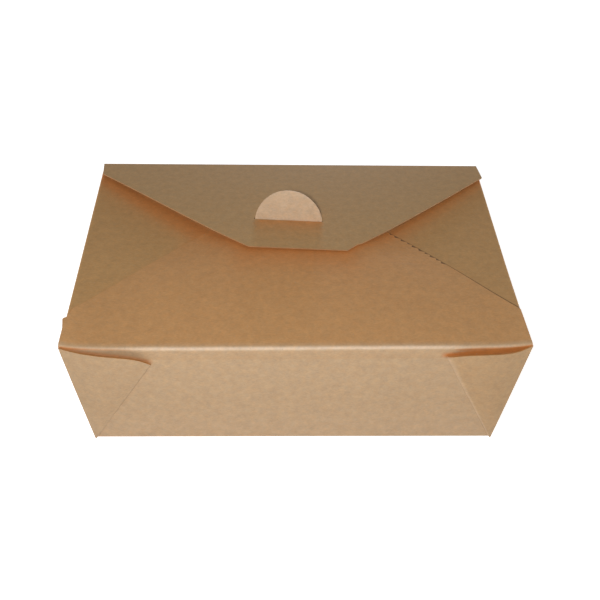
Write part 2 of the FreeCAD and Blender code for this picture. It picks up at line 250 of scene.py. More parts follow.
# %% [markdown]
# ## The shade between board and board
#
# Light that is caught between two brown sheets comes out deeper and more orange. Ambient
# occlusion measures how much other board covers a point: part of its sky beside the lid's edge,
# and nearly all of it where sheets lie on each other. A node group turns that into a mask, and
# every material that needs it places the group. It works on the flaps alone, and the webs'
# pockets are painted further down.

# %% Blending and sums in a node tree
def blended(tree, x, a, b, factor, kind="MIX"):
    """Mixes two colours. Each is a socket or plain numbers, and so is the factor."""
    node = add_node(tree, "ShaderNodeMix", x, 100, data_type="RGBA", blend_type=kind)
    for name, value in (("A", a), ("B", b), ("Factor", factor)):
        if isinstance(value, bpy.types.NodeSocket):
            tree.links.new(value, node.inputs[name])
        elif isinstance(value, tuple):
            node.inputs[name].default_value = (*value, 1)
        else:
            node.inputs[name].default_value = value
    return node.outputs["Result"]


def math_node(tree, x, y, operation, *values):
    """A Math node, fed with sockets or numbers."""
    node = add_node(tree, "ShaderNodeMath", x, y, operation=operation)
    for socket, value in zip(node.inputs, values):
        if isinstance(value, bpy.types.NodeSocket):
            tree.links.new(value, socket)
        else:
            socket.default_value = value
    return node.outputs["Value"]


def smooth_step(tree, x, y, value, start, end, low=0.0, high=1.0):
    """Goes smoothly from low to high while the value goes from start to end."""
    return map_range(tree, x, y, value, start, end, low, high, "SMOOTHSTEP")


# %% The crevice mask as a node group
FLAPS_Z, TONGUE_Z = 64.5 * MM, 69.2 * MM  # the flaps lie between these heights
CREVICE_REACH, CREVICE_MOST = 27 * MM, 0.72
AO_OPEN, AO_HALF = 0.99, 0.58  # how open the sky is where the mask starts and is full
AO_SLIGHT = 0.93  # and where it is full beside the lid
AO_SHUT, AO_NEARLY_SHUT = 0.05, 0.25  # it ends where the sky is shut out


def on_flaps(tree, position):
    """1 on the flaps, 0 on the walls and on the tongue."""
    parts = add_node(tree, "ShaderNodeSeparateXYZ", -1300, -1000)
    tree.links.new(position, parts.inputs[0])
    above = smooth_step(tree, -1100, -1000, parts.outputs["Z"], FLAPS_Z, FLAPS_Z + 1 * MM)
    below = smooth_step(tree, -1100, -1100, parts.outputs["Z"], TONGUE_Z, TONGUE_Z + 0.8 * MM,
                        1.0, 0.0)
    return math_node(tree, -1000, -1000, "MULTIPLY", above, below)


def crevice_group():
    """Painted shade: 1 where other board stands close by on one side, 0 in the open and where it
    covers all.

    Beside the lid, where the mesh is painted with lid_zone, even a little cover counts.
    """
    tree, position, ends = new_group("crevice_mask", ("Mask",))
    sky = add_node(tree, "ShaderNodeAmbientOcclusion", -1300, -1200, samples=16,
                   Distance=CREVICE_REACH).outputs["AO"]
    zone = add_node(tree, "ShaderNodeAttribute", -1100, -1800, attribute_name="lid_zone")
    start = smooth_step(tree, -1100, -1200, sky, AO_OPEN, AO_HALF, 0.0, CREVICE_MOST)
    slight = smooth_step(tree, -1100, -1600, sky, 1.0, AO_SLIGHT)
    end = smooth_step(tree, -1100, -1400, sky, AO_SHUT, AO_NEARLY_SHUT)
    slight = math_node(tree, -900, -1600, "MULTIPLY", slight, zone.outputs["Fac"])
    either = math_node(tree, -850, -1400, "MAXIMUM", start, slight)
    both = math_node(tree, -800, -1300, "MULTIPLY", either, end)
    mask = math_node(tree, -700, -1300, "MULTIPLY", both, on_flaps(tree, position))
    tree.links.new(mask, ends["Mask"])
    return tree


in_crevices = crevice_group()
print(in_crevices.name, "has", len(in_crevices.nodes), "nodes")

# %% Painted shade in the gap beside the front flap's right slant
SLANT_ACROSS = (0.756, 0.6546)  # direction across the slant, seen from above
SLANT_OFFSET, SLANT_WIDTH = 47.0 * MM, 0.8 * MM
SLANT_MIDDLE, SLANT_HALF, SLANT_BOW = 65.4 * MM, 42.9 * MM, 1.1 * MM
LINE_FROM, LINE_FULL = 4 * MM, 3 * MM  # how far under the flap the line starts and is full


def line_group():
    """1 on a narrow band of painted shade beside the front flap's right slant, which bows out in
    its middle.
    """
    tree, position, ends = new_group("slant_gap_shade", ("Mask",))
    across, down = [add_node(tree, "ShaderNodeVectorMath", -1300, y, operation="DOT_PRODUCT")
                    for y in (-500, -700)]
    across.inputs[1].default_value = (*SLANT_ACROSS, 0)
    down.inputs[1].default_value = (SLANT_ACROSS[1], -SLANT_ACROSS[0], 0)
    for node in (across, down):
        tree.links.new(position, node.inputs[0])
    share = math_node(tree, -1100, -700, "SUBTRACT", down.outputs["Value"], SLANT_MIDDLE)
    share = math_node(tree, -1000, -700, "DIVIDE", share, SLANT_HALF)
    bow = math_node(tree, -900, -700, "MULTIPLY", share, share)
    place = math_node(tree, -800, -600, "MULTIPLY_ADD", bow, SLANT_BOW, across.outputs["Value"])
    edge = SLANT_OFFSET + SLANT_BOW
    rising = smooth_step(tree, -600, -500, place, edge - LINE_FROM, edge - LINE_FULL)
    falling = smooth_step(tree, -600, -700, place, edge, edge + SLANT_WIDTH, 1.0, 0.0)
    both = math_node(tree, -400, -600, "MULTIPLY", rising, falling)
    mask = math_node(tree, -300, -600, "MULTIPLY", both, on_flaps(tree, position))
    tree.links.new(mask, ends["Mask"])
    return tree


beside_slant = line_group()
print(beside_slant.name, "has", len(beside_slant.nodes), "nodes")

# %% [markdown]
# ## The materials of the board
#
# All of the board is one pulp, and what differs is wear, and light and shade that are painted
# into its colour. So one function makes every material: a plain tone, then the tones of painted
# light, painted shade and wear that the mesh's masks call for, then the node groups' painted
# shade, and the fibres over all of it. The cut edges show the plies, which are darker, and their
# relief is stronger.

# %% Tones and materials
# The flap, side flap and lid tones are the one board as each panel is lit: painted light and shade.
WALL_TONE, FLAP_LIT_TONE = (0.495, 0.335, 0.195), (0.485, 0.26, 0.103)
SIDE_LIT_TONE, LID_LIT_TONE = (0.435, 0.247, 0.096), (0.4, 0.243, 0.106)
# The first is the orange of painted shade between sheets; the second is partly wear and partly
# painted light.
PAINTED_SHADE_TONE, WEAR_AND_LIGHT_TONE = (0.505, 0.18, 0.043), (0.64, 0.47, 0.32)
# the painted shade in the gap beside the front flap's right slant
GAP_SHADE_TONE = (0.15, 0.08, 0.03)
# The flap's cut edge is darker, as the plies are. The webs' cut edges carry the orange of the
# pockets' painted shade, and the lid's is paler: painted light, as its end faces the lamp.
CUT_TONES = {"flap": (0.31, 0.195, 0.098), "web": (0.37, 0.165, 0.047),
             "lid": (0.41, 0.218, 0.098)}
COOL_TINT, WARM_TINT = (0.97, 1.0, 1.04), (1.04, 1.0, 0.95)
NOISE_MIDDLE = (0.3, 0.7)  # most of a noise's values lie between these
FACE_BUMP, CUT_BUMP, BUMP_DEPTH = 0.3, 0.6, 0.08 * MM
SPECK_DARKNESS = 0.75


def kraft_material(name, plain, warm, bump, masks=()):
    """Kraft board whose mesh says where light, shade and wear are painted into its colour."""
    material = bpy.data.materials.new(name)
    material.use_nodes = True
    tree = material.node_tree
    shader = tree.nodes["Principled BSDF"]
    shader.inputs["Roughness"].default_value = 0.7
    shader.inputs["Specular IOR Level"].default_value = 0.35
    place = add_node(tree, "ShaderNodeTexCoord", -1500, 0).outputs["Object"]
    fibre = add_node(tree, "ShaderNodeGroup", -1300, 0, node_tree=fibre_group)
    tree.links.new(place, fibre.inputs["Position"])
    colour, x = plain, -1100
    # The warm tone stands in for how each panel is lit; then painted shade; then wear with painted
    # light.
    for painted, tone in (("warm", warm), ("painted_shade", PAINTED_SHADE_TONE), ("wear_and_light", WEAR_AND_LIGHT_TONE)):
        read = add_node(tree, "ShaderNodeAttribute", x, -300, attribute_name=painted)
        colour = blended(tree, x + 100, colour, tone, read.outputs["Fac"])
        x += 150
    for group, tone in masks:
        mask = add_node(tree, "ShaderNodeGroup", x, -300, node_tree=group)
        tree.links.new(place, mask.inputs["Position"])
        colour = blended(tree, x + 100, colour, tone, mask.outputs["Mask"])
        x += 150
    lighter = map_range(tree, -600, -500, fibre.outputs["Tone"], *NOISE_MIDDLE, 0.84, 1.16)
    redder = map_range(tree, -600, -800, fibre.outputs["Hue"], *NOISE_MIDDLE)
    tint = blended(tree, -400, COOL_TINT, WARM_TINT, redder)
    colour = blended(tree, -300, colour, lighter, 1.0, "MULTIPLY")
    colour = blended(tree, -200, colour, tint, 1.0, "MULTIPLY")
    colour = blended(tree, -100, colour, tuple(SPECK_DARKNESS * part for part in plain),
                     fibre.outputs["Specks"])
    relief = add_node(tree, "ShaderNodeBump", -300, -300, Strength=bump, Distance=BUMP_DEPTH)
    tree.links.new(colour, shader.inputs["Base Color"])
    tree.links.new(fibre.outputs["Height"], relief.inputs["Height"])
    tree.links.new(relief.outputs["Normal"], shader.inputs["Normal"])


crevice_shade, slant_gap_shade = (in_crevices, PAINTED_SHADE_TONE), (beside_slant, GAP_SHADE_TONE)
kraft_material("kraft_face", WALL_TONE, FLAP_LIT_TONE, FACE_BUMP, [crevice_shade])
kraft_material("kraft_end", WALL_TONE, SIDE_LIT_TONE, FACE_BUMP, [crevice_shade, slant_gap_shade])
kraft_material("kraft_lid", LID_LIT_TONE, FLAP_LIT_TONE, FACE_BUMP, [crevice_shade])
for piece_name, cut_tone in CUT_TONES.items():
    kraft_material(piece_name + "_cut_edge", cut_tone, cut_tone, CUT_BUMP)
print("materials:", sorted(material.name for material in bpy.data.materials))

# %% [markdown]
# ## How this box is bent out of true
#
# Board never folds quite flat. On this box the front rim bulges forwards in the middle and sags
# on the left, between corners that stand up. The same function moves every sheet near that rim,
# so the webs and the wall that they lie on stay together.

# %% Easing, and reading a line drawn through points
def ease(t):
    """0 below 0, 1 above 1, and smooth between."""
    t = min(max(t, 0.0), 1.0)
    return t * t * (3 - 2 * t)


def along(points, at):
    """Reads a line drawn through (place, value) points, in millimetres."""
    at = at / MM
    for (a, low), (b, high) in zip(points, points[1:]):
        if at <= b:
            share = min(max((at - a) / (b - a), 0.0), 1.0)
            return (low + (high - low) * share) * MM
    return points[-1][1] * MM


# %% The bulge and the sag of the front rim
BULGE_OUT = 1.0 * MM
BULGE_Y, BULGE_RUN = -10 * MM, 60 * MM  # it starts in front of here and grows over this run
RIM_DOWN = [(-107.3, -0.3), (-103, 0.7), (-97, 1.4), (-88, 1.6), (-75, 1.35), (-60, 1.1),
            (-45, 0.95), (-25, 0.65), (0, 0.42), (25, 0.2), (50, 0.06), (70, 0.1), (82, 0.27),
            (91, 0.2), (97, -0.15), (102, -0.6), (107.3, -1.2)]


def bulge_rim(bm):
    """Moves the points near the front rim forwards at its middle, and down where it sags."""
    for vert in bm.verts:
        x, y, z = vert.co
        middle = max(0.0, 1 - (x / (BASE_X + LEAN_RUN)) ** 2)
        near = ease((BULGE_Y - y) / BULGE_RUN) * ease(z / RIM_Z)
        vert.co.y -= BULGE_OUT * middle * near
        vert.co.z -= along(RIM_DOWN, x) * near


print("rim down by %.1f mm at most" % max(down for place, down in RIM_DOWN))

# %% [markdown]
# ## Painted shade where board is close to board
#
# Below the lid's edges and inside the web pockets, light bounces between brown surfaces and comes
# out orange and darker. The lamps and the crevice mask's painted shade give part of that. Shade
# painted into the mesh gives the rest: it fades with the distance from the lid's outline, which
# three straight lines describe.

# %% Painting a mask into the mesh
def paint(bm, name, value_at):
    """Stores a number at every point of the sheet, for its material to read."""
    layer = bm.verts.layers.float.get(name) or bm.verts.layers.float.new(name)
    for vert in bm.verts:
        vert[layer] = value_at(vert.co)


# %% Distance from the lid's edge
LID_EDGES = [((-105.5, 66.1), (-23.5, -4.2)), ((-23.5, -4.2), (27.0, -7.0)),
             ((27.0, -7.0), (107.6, 64.6))]
LID_EDGES_FORWARD = 1.5  # in mm, how far in front of these lines the skewed lid's edges lie
FLAPS_Y = 77 * MM  # the flaps' creases lie beyond this, front and back
LID_ZONE = 16 * MM


def outside_lid(x, y):
    """How far a point seen from above lies outside the lid's slants and end, or 0 inside."""
    x, y = x / MM, y / MM + LID_EDGES_FORWARD
    crosses = [((bx - ax) * (y - ay) - (by - ay) * (x - ax)) / math.hypot(bx - ax, by - ay)
               for (ax, ay), (bx, by) in LID_EDGES]
    return max(-min(crosses) * MM, 0)


def shade_near_lid(x, y, width, strength):
    """Strongest at the lid's edge, and fading with the distance from it."""
    return strength * math.exp(-outside_lid(x, y) / width)


def is_on_flap(co):
    """Whether a point lies on a flap, inside its creases."""
    return co.z >= FLAPS_Z and abs(co.y) <= FLAPS_Y


def lid_zone(co, strength):
    """Where a flap lies beside the lid, for the crevice mask."""
    if not is_on_flap(co):
        return 0.0
    return strength * math.exp(-(outside_lid(co.x, co.y) / LID_ZONE) ** 2)


print("the front rim's middle is %.0f mm outside the lid" % (outside_lid(0, -HINGE_Y) / MM))

# %% [markdown]
# ## The long sheet
#
# Front flap, front wall, base and back wall are one strip of the blank. The front flap narrows
# towards its end. Its left shoulder sticks out a little past the rim, and its right slant was
# torn off the blank at a row of small nicks, which are notches in the outline here.

# %% Front flap's outline
FLAP_END_Y = 18.9 * MM
FLAP_LEFT = [(-78.8, 107.05), (-66, 107.1), (-59.2, 108.1), (-58.4, 106.6), (-50.8, 104.4),
             (8.8, 48.9), (19, 40.5)]
FLAP_RIGHT = [(-78.8, 107.05), (-53.2, 106.4), (-51.9, 105.4), (12.9, 49.3), (19, 44.0)]
ARCH_OUT, ARCH_Y, ARCH_HALF = 1.45 * MM, -19.5 * MM, 32.4 * MM  # the right slant bows out
NICK_PITCH, NICK_WIDTH, NICK_DEPTH = 2.9 * MM, 1.3 * MM, 1.3 * MM
NICK_FROM, NICK_TO = -16 * MM, 15 * MM


def flap_half(x, y):
    """Half the front flap's width on the left or right of its middle."""
    if x < 0:
        return along(FLAP_LEFT, y)
    from_middle = (y - ARCH_Y) / ARCH_HALF
    half = along(FLAP_RIGHT, y) + ARCH_OUT * max(1 - from_middle ** 2, 0)
    if NICK_FROM < y < NICK_TO and (y - NICK_FROM) % NICK_PITCH < NICK_WIDTH:
        half -= NICK_DEPTH
    return half


def taper_long(bm):
    """Gives each row of the long sheet its real width."""
    flap_from = -wall_at(BASE_Y, FRONT_Z - CREASE_R, BOARD / 2 + CREASE_R)
    for vert in bm.verts:
        x, y, z = vert.co
        if z > FRONT_Z - CREASE_R and flap_from - CREASE_R < y < FLAP_END_Y + MM:
            half = flap_half(x, y)
        elif z < BOARD:
            half = wall_at(BASE_X, FOOT_Z, FOOT_Z)
        else:
            half = wall_at(BASE_X, z, BOARD * 1.1)
        vert.co.x = x * half


print("front flap's end: %.1f mm" % (sum(flap_half(x, FLAP_END_Y) for x in (-1, 1)) / MM))

# %% [markdown]
# ## The tongue
#
# The tongue is cut from the flap's own end and bent up. It stands on part of the flap's last
# row: those edges are extruded upwards again and again, and each new row is scaled to the half
# moon's width at its height. Its rows lie on an arc about the lid's crease, so the slot can
# swing off it.

# %% Where the tongue's rows lie
TONGUE_X, TONGUE_R, TONGUE_FOOT_Z = -2.5 * MM, 17.6 * MM, 68.6 * MM
TONGUE_BEND, BEND_TURN, BEND_ROWS = 0.55 * MM, math.radians(80), 5
TONGUE_TURN, TONGUE_ROWS = math.radians(86), 26
SLOT_REACH = 59 * MM  # from the lid's crease to the tongue


def tongue_path():
    """Each row's y and z: round the bend at the foot, then up the arc about the lid's crease."""
    path = []
    for step in range(1, BEND_ROWS + 1):
        turn = BEND_TURN * step / BEND_ROWS
        path.append((FLAP_END_Y + TONGUE_BEND * math.sin(turn),
                     FRONT_Z + TONGUE_BEND * (1 - math.cos(turn))))
    for step in range(TONGUE_ROWS + 1):
        up = TONGUE_FOOT_Z + TONGUE_R * math.sin(TONGUE_TURN * step / TONGUE_ROWS)
        path.append((HINGE_Y - math.sqrt(SLOT_REACH ** 2 - (up - HINGE_Z) ** 2), up))
    return path


print("the tongue's top is at %.1f mm" % (tongue_path()[-1][1] / MM))

# %% Raising the tongue from the flap's end
TONGUE_SKEW, SKEW_RUN = 0.065, 3 * MM  # it follows the slight turn of the slot
FRONT_FLAP_Y = 30 * MM  # all of the front flap lies in front of this


def nearest_pair(verts, left, right):
    """Moves the points of a row that are nearest to two places exactly onto them."""
    for place in (left, right):
        nearest = min(verts, key=lambda vert: abs(vert.co.x - place))
        nearest.co.x = place


def next_row(bm, row):
    """Extrudes a row of edges and gives the new points and the new row."""
    made = bmesh.ops.extrude_edge_only(bm, edges=row)["geom"]
    new = [item for item in made if isinstance(item, bmesh.types.BMVert)]
    return new, [item for item in made if isinstance(item, bmesh.types.BMEdge)
                 and item.verts[0] in new and item.verts[1] in new]


def raise_tongue(bm):
    """Extrudes the half moon from the middle of the flap's last row."""
    last = [vert for vert in bm.verts if abs(vert.co.y - FLAP_END_Y) < 0.01 * MM
            and abs(vert.co.z - FRONT_Z) < 0.01 * MM]
    left, right = TONGUE_X - TONGUE_R, TONGUE_X + TONGUE_R
    nearest_pair(last, left, right)
    inside = {vert for vert in last if left - 1e-7 <= vert.co.x <= right + 1e-7}
    row = [edge for edge in bm.edges if set(edge.verts) <= inside]
    half, y, z = TONGUE_R, FLAP_END_Y, FRONT_Z
    for to_y, to_z in tongue_path():
        new, row = next_row(bm, row)
        new_half = math.sqrt(TONGUE_R ** 2 - max(to_z - TONGUE_FOOT_Z, 0) ** 2)
        bmesh.ops.translate(bm, verts=new, vec=(0, to_y - y, to_z - z))
        bmesh.ops.scale(bm, verts=new, vec=(new_half / half, 1, 1),
                        space=Matrix.Translation((-TONGUE_X, 0, 0)))
        half, y, z = new_half, to_y, to_z
    for vert in bm.verts:
        x, y, z = vert.co
        if FLAP_END_Y - SKEW_RUN < y < FRONT_FLAP_Y and z > FRONT_Z - 0.1 * MM:
            vert.co.y -= TONGUE_SKEW * (x - TONGUE_X) * ease((y - FLAP_END_Y) / SKEW_RUN + 1)


# %% [markdown]
# ## How the flaps settle
#
# The side flaps sink a little towards their ends, and the front flap lies over them. It arches in
# its middle, lies down on the side flap along its left slant and stays nearly level along its
# right one.

# %% Sag of the side flaps, arch of the front flap
SAG_LEFT, SAG_RIGHT = 1.3 * MM, 1.6 * MM  # how far the side flaps' ends sink
SAG_FROM_X, SIDE_TIP_X = 106 * MM, 35.25 * MM
FLAP_FROM_Y, FLAP_RUN = -78 * MM, 97 * MM  # the front flap's crease and length
FLAP_ARCH, RIGHT_ARCH = 1.1 * MM, 0.35 * MM
EDGE_BAND = 30 * MM  # how wide a strip along a slant settles


def side_sag(x):
    """How far a side flap has sunk at a distance from its crease."""
    deepest = SAG_LEFT if x < 0 else SAG_RIGHT
    share = max(0.0, (SAG_FROM_X - abs(x)) / (SAG_FROM_X - SIDE_TIP_X))
    return deepest * min(share, 1) ** 1.5


def bow_front_flap(bm):
    """The flap arches in its middle, and its left slant lies down on the side flap."""
    for vert in bm.verts:
        x, y, z = vert.co
        if z > FRONT_Z - 0.3 * MM and FLAP_FROM_Y < y < FRONT_FLAP_Y:
            from_crease = min((y - FLAP_FROM_Y) / FLAP_RUN, 1)
            across = max(1 - (x / (107 * MM)) ** 2, 0)
            rise = FLAP_ARCH * math.sin(math.pi * from_crease) * across
            from_edge = flap_half(x, min(y, FLAP_END_Y)) - abs(x)
            edge = ease(1 - from_edge / EDGE_BAND) * ease(from_crease * 4)
            if x < 0:
                rest = -side_sag(x) - 0.2 * MM
            else:
                rest = RIGHT_ARCH * math.sin(math.pi * from_crease) - 0.6 * side_sag(x)
            vert.co.z += rise * (1 - edge) + rest * edge


print("side flaps sink %.1f mm halfway to their ends" % (side_sag(70 * MM) / MM))

# %% [markdown]
# ## Tones of the long sheet
#
# The front flap faces up and is painted warmer in tone than the walls, as it is lit. The rim's
# crease is paler, partly wear and partly a painted highlight. The tongue, facing the lamp, is
# painted paler, and so is the foot of the walls, with light that the floor bounces up. Inside each
# web's pocket the wall gets orange painted shade just above the web's top edge.

# %% Painted light, and wear with a painted highlight
# The tongue faces the lamp, and its paler tone is painted light.
TONGUE_LIGHT = 0.65
PALE_CREASE_Y, PALE_CREASE_Z = -78.0 * MM, FRONT_Z - 0.3 * MM  # middle of the crease's band of wear and painted highlight


def long_lit_tone(co):
    """Painted light: the front flap, facing up, is warmer in tone than the walls."""
    if co.z > FRONT_Z + 0.2 * MM or co.z < 60 * MM or co.y > FRONT_FLAP_Y:
        return 0.0
    return ease((co.y + 79 * MM) / (5 * MM)) * (1 - ease((co.y - 18.8 * MM) / (0.3 * MM)))


def floor_bounce_light(z):
    """Painted light from the floor: the foot of each wall is a shade paler."""
    return 0.18 * (1 - ease(z / (30 * MM)))


def long_wear_and_light(co):
    """The crease gets wear and a painted highlight, less at its ends; the tongue painted light."""
    if co.z > FRONT_Z + 0.2 * MM:
        return TONGUE_LIGHT
    off_crease = math.hypot(co.y - PALE_CREASE_Y, co.z - PALE_CREASE_Z)
    paleness = 1 - ease((off_crease - 0.2 * MM) / (0.95 * MM))
    paleness *= 1 - 0.6 * ease((abs(co.x) - 60 * MM) / (25 * MM))
    paleness *= 1 - ease((abs(co.x) - 94 * MM) / (10 * MM))
    return paleness + floor_bounce_light(co.z)


# %% Painted shade in the pockets and beside the lid
# Each pocket's tip in x and z, its corner in z, and how strong its painted shade is
POCKETS = {-1: (66.7, 58.8, 64.6, 0.65), 1: (68.3, 62.2, 64.6, 1.0)}
POCKET_CORNER_X, POCKET_BAND, BAND_RISE = 107, 2.4, 1.5
PLATEAU = 13 * MM  # how far the shade reaches out from the lid's end


def pocket_shade(x, z):
    """Strong just above a web's top edge, fading upwards and past the tip."""
    tip_x, tip_z, corner_z, depth = POCKETS[1 if x > 0 else -1]
    share = (abs(x) / MM - tip_x) / (POCKET_CORNER_X - tip_x)
    above = z / MM - (tip_z + (corner_z - tip_z) * share)
    fade = 1 - ease((above - BAND_RISE * ease(share * 3)) / POCKET_BAND)
    return depth * ease(share * 30 + 1) * fade * ease((above + 2.5) / 2)


def long_painted_shade(co):
    """Painted shade on the front flap beside the lid, and in the pockets."""
    if co.z > FRONT_Z + 0.2 * MM:
        return 0.0
    if co.z > 66.5 * MM:
        below_end = 0.1 + 0.3 * (1 - ease((abs(co.x) - 24 * MM) / (16 * MM)))
        plateau = math.exp(-(outside_lid(co.x, co.y) / PLATEAU) ** 2)
        return below_end * plateau + shade_near_lid(co.x, co.y, 25 * MM, 0.28)
    return pocket_shade(co.x, co.z) if co.y < -BASE_Y else 0.0


# %% Long sheet
FLAP_ROWS, WALL_ROWS, BASE_ROWS, BACK_ROWS = 120, 80, 24, 24
BACK_TOP_Z = 67.7 * MM
LONG_ZONE = 0.5  # how much a little cover counts beside the lid


def make_long_sheet():
    """Front flap, front wall, base and back wall, with the tongue on the flap's end."""
    bm = bmesh.new()
    row = first_row(bm, FLAP_END_Y, FRONT_Z)
    row = fold_down(bm, row, BASE_Y, FLAP_END_Y, FRONT_Z, FLAP_ROWS, WALL_ROWS)
    foot_y = wall_at(BASE_Y, FOOT_Z, FOOT_Z)
    row = run(bm, row, 2 * foot_y, 0, BASE_ROWS)
    row = bend(bm, row, foot_y, FOOT_Z, math.pi / 2 - LEAN, FOOT_STEPS)
    rise = BACK_TOP_Z - (FOOT_Z - FOOT_R * math.sin(LEAN))
    run(bm, row, LEAN_RUN * rise / RIM_Z, rise, BACK_ROWS)
    taper_long(bm)
    raise_tongue(bm)
    paint(bm, "warm", long_lit_tone)
    paint(bm, "painted_shade", long_painted_shade)
    paint(bm, "wear_and_light", long_wear_and_light)
    paint(bm, "lid_zone", lambda co: lid_zone(co, LONG_ZONE))
    bow_front_flap(bm)
    bulge_rim(bm)
    return make_board(bm, "long_sheet", "kraft_face", "flap_cut_edge")


long_sheet = make_long_sheet()
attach(long_sheet, "box")
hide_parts("box_body")

# %% [markdown]
# ## The two end sheets and their webs
#
# Each end of the blank is an end wall with its side flap, and a web on either side of the wall.
# The web is a triangle of board with its point at the base's corner. It turns round the corner,
# runs across the outside of the long wall, folds back on itself, and returns against the wall.
# Board that is bent about a point lies on a cone, so the web is the wall's corner edge extruded
# step by step while it turns about the base's corner. The edge keeps its share of the way up at
# each step in a layer of the mesh, and that share times the web's length gives its new place.

# %% A web's section
CORNER_LEAN = math.atan2(LEAN_RUN, math.hypot(RIM_Z, LEAN_RUN))
CORNER_R, CORNER_GAP = 0.6 * MM, 0.25 * MM  # the turn round the corner, and how far past it
OUTER_OFF, INNER_OFF = 0.9 * MM, 0.26 * MM  # the two plies' middle surfaces, off the wall
FOLD_R = (OUTER_OFF - INNER_OFF) / 2
TURN_STEPS, OUTER_STEPS, FOLD_STEPS, INNER_STEPS = 4, 16, 8, 10
INNER_REACH = 0.95  # how much of the way back the inner ply goes


def web_columns(lean):
    """Column by column: turn about the corner, share, shift, distance off the wall, and ply."""
    fold_turn = math.radians(lean) + CORNER_LEAN
    edge_shift = CORNER_GAP + CORNER_R
    columns = []
    for step in range(1, TURN_STEPS + 1):
        turn = math.pi / 2 * step / TURN_STEPS
        columns.append((0, 0, CORNER_GAP + CORNER_R * (1 - math.cos(turn)),
                        OUTER_OFF - CORNER_R * (1 - math.sin(turn)), 0, 1))
    for step in range(1, OUTER_STEPS + 1):
        share = step / OUTER_STEPS
        columns.append((fold_turn * share, share, edge_shift * (1 - share), OUTER_OFF, 0, 1))
    for step in range(1, FOLD_STEPS):
        turn = math.pi * step / FOLD_STEPS
        columns.append((fold_turn, 1, 0, (OUTER_OFF + INNER_OFF) / 2 + FOLD_R * math.cos(turn),
                        FOLD_R * math.sin(turn), 1))
    for step in range(INNER_STEPS + 1):
        share = 1 - INNER_REACH * step / INNER_STEPS
        columns.append((fold_turn * share, share, edge_shift * (1 - share), INNER_OFF, 0, 0))
    return columns


print("a web has %d columns" % len(web_columns(0)))

# %% The webs' own shapes
# Corner's and tip's distance from the base's corner, in mm. Then how far the top edge rises near
# the tip and in the middle and dips near the corner, the fold's lean in degrees, how far the web
# bulges and its tip stands off, and how pale the fold is.
WEB_KEYS = ("corner", "length", "crown", "middle", "dip", "lean", "bulge", "tip", "paleness")
FRONT_LEFT, FRONT_RIGHT, BACK = [dict(zip(WEB_KEYS, values)) for values in (
    (67.8, 67.0, 1.6, 1.0, 0.0, 28.3, 3.3, 0.7, 0.1),
    (68.4, 68.8, 0.5, 0.55, 1.8, 25.4, 3.4, 0.3, 0.45),
    (67.2, 65.0, 0.5, -0.3, 0.0, 29.0, 3.0, 0.6, 0.25))]


def web_length(web, share, is_outer):
    """From the base's corner to the web's top edge, at a share of the way to the fold."""
    hump = (web["crown"] * math.sin(math.pi * share ** 3)
            + web["middle"] * math.sin(math.pi * share)
            - web["dip"] * math.sin(math.pi * (1 - share) ** 3))
    length = (web["corner"] * (1 - share) + web["length"] * share + hump) * MM
    return length if is_outer else length * (1 - 0.08 * ease((1 - share) * 4))


def web_off_wall(web, share, off, way_up, is_outer):
    """How far a ply stands off the wall: the outer one bulges, and the tip lifts both."""
    lift = web["tip"] * MM * way_up ** 2
    if is_outer:
        bulge = web["bulge"] * MM * math.sin(math.pi * share) ** 0.9 * way_up
        return off + bulge + lift * share
    return off + lift * ease(share * 2 - 1)


def add_web(bm, edges, reach, wear_and_light, side_y, web):
    """Extrudes the corner edge of the right end wall into the folded web."""
    corner = Vector((BASE_X, side_y * BASE_Y, 0))
    inwards = Vector((-1, 0, 0))
    up = Vector((0, side_y * math.sin(LEAN), math.cos(LEAN)))
    out = Vector((0, side_y * math.cos(LEAN), -math.sin(LEAN)))
    row = edges
    for turn, share, shift, off, past, is_outer in web_columns(web["lean"]):
        new, row = next_row(bm, row)
        lean = turn - CORNER_LEAN
        ray = inwards * math.sin(lean) + up * math.cos(lean)
        square = inwards * math.cos(lean) - up * math.sin(lean)
        length = web_length(web, share, is_outer)
        for vert in new:
            way_up = vert[reach]
            vert[wear_and_light] = web["paleness"] * ease((share - 0.93) / 0.07) * is_outer
            vert.co = (corner + ray * (length * way_up) + square * (shift + past)
                       + out * web_off_wall(web, share, off, way_up, is_outer))


print("front webs bulge %.1f and %.1f mm" % (FRONT_LEFT["bulge"], FRONT_RIGHT["bulge"]))

# %% [markdown]
# ## Making an end sheet
#
# An end sheet is folded lying as a front wall, because the helpers sweep that way, and is then
# turned to its own side. The left one is made as a right one and mirrored.

# %% Width of the side flap and the end wall
SIDE_TIP_Y = -SIDE_TIP_X
SIDE_TIP_R = 12 * MM
SIDE_HALF, SIDE_NARROWING = 77.5, 11.2  # in mm, at the crease and down to the tip
END_REACH = BASE_Y + LEAN_RUN
FOOT_TOP_Z = FOOT_Z - FOOT_R * math.sin(LEAN)


def side_half(y):
    """Half the side flap's width: it narrows evenly, and its tips are round."""
    from_tip = SIDE_TIP_Y - y
    crease = -wall_at(BASE_X, SIDE_Z, 0)
    share = (y - crease) / (SIDE_TIP_Y - crease)
    half = (SIDE_HALF - SIDE_NARROWING * share) * MM
    if from_tip < SIDE_TIP_R:
        half -= SIDE_TIP_R - math.sqrt(SIDE_TIP_R ** 2 - (SIDE_TIP_R - from_tip) ** 2)
    return half


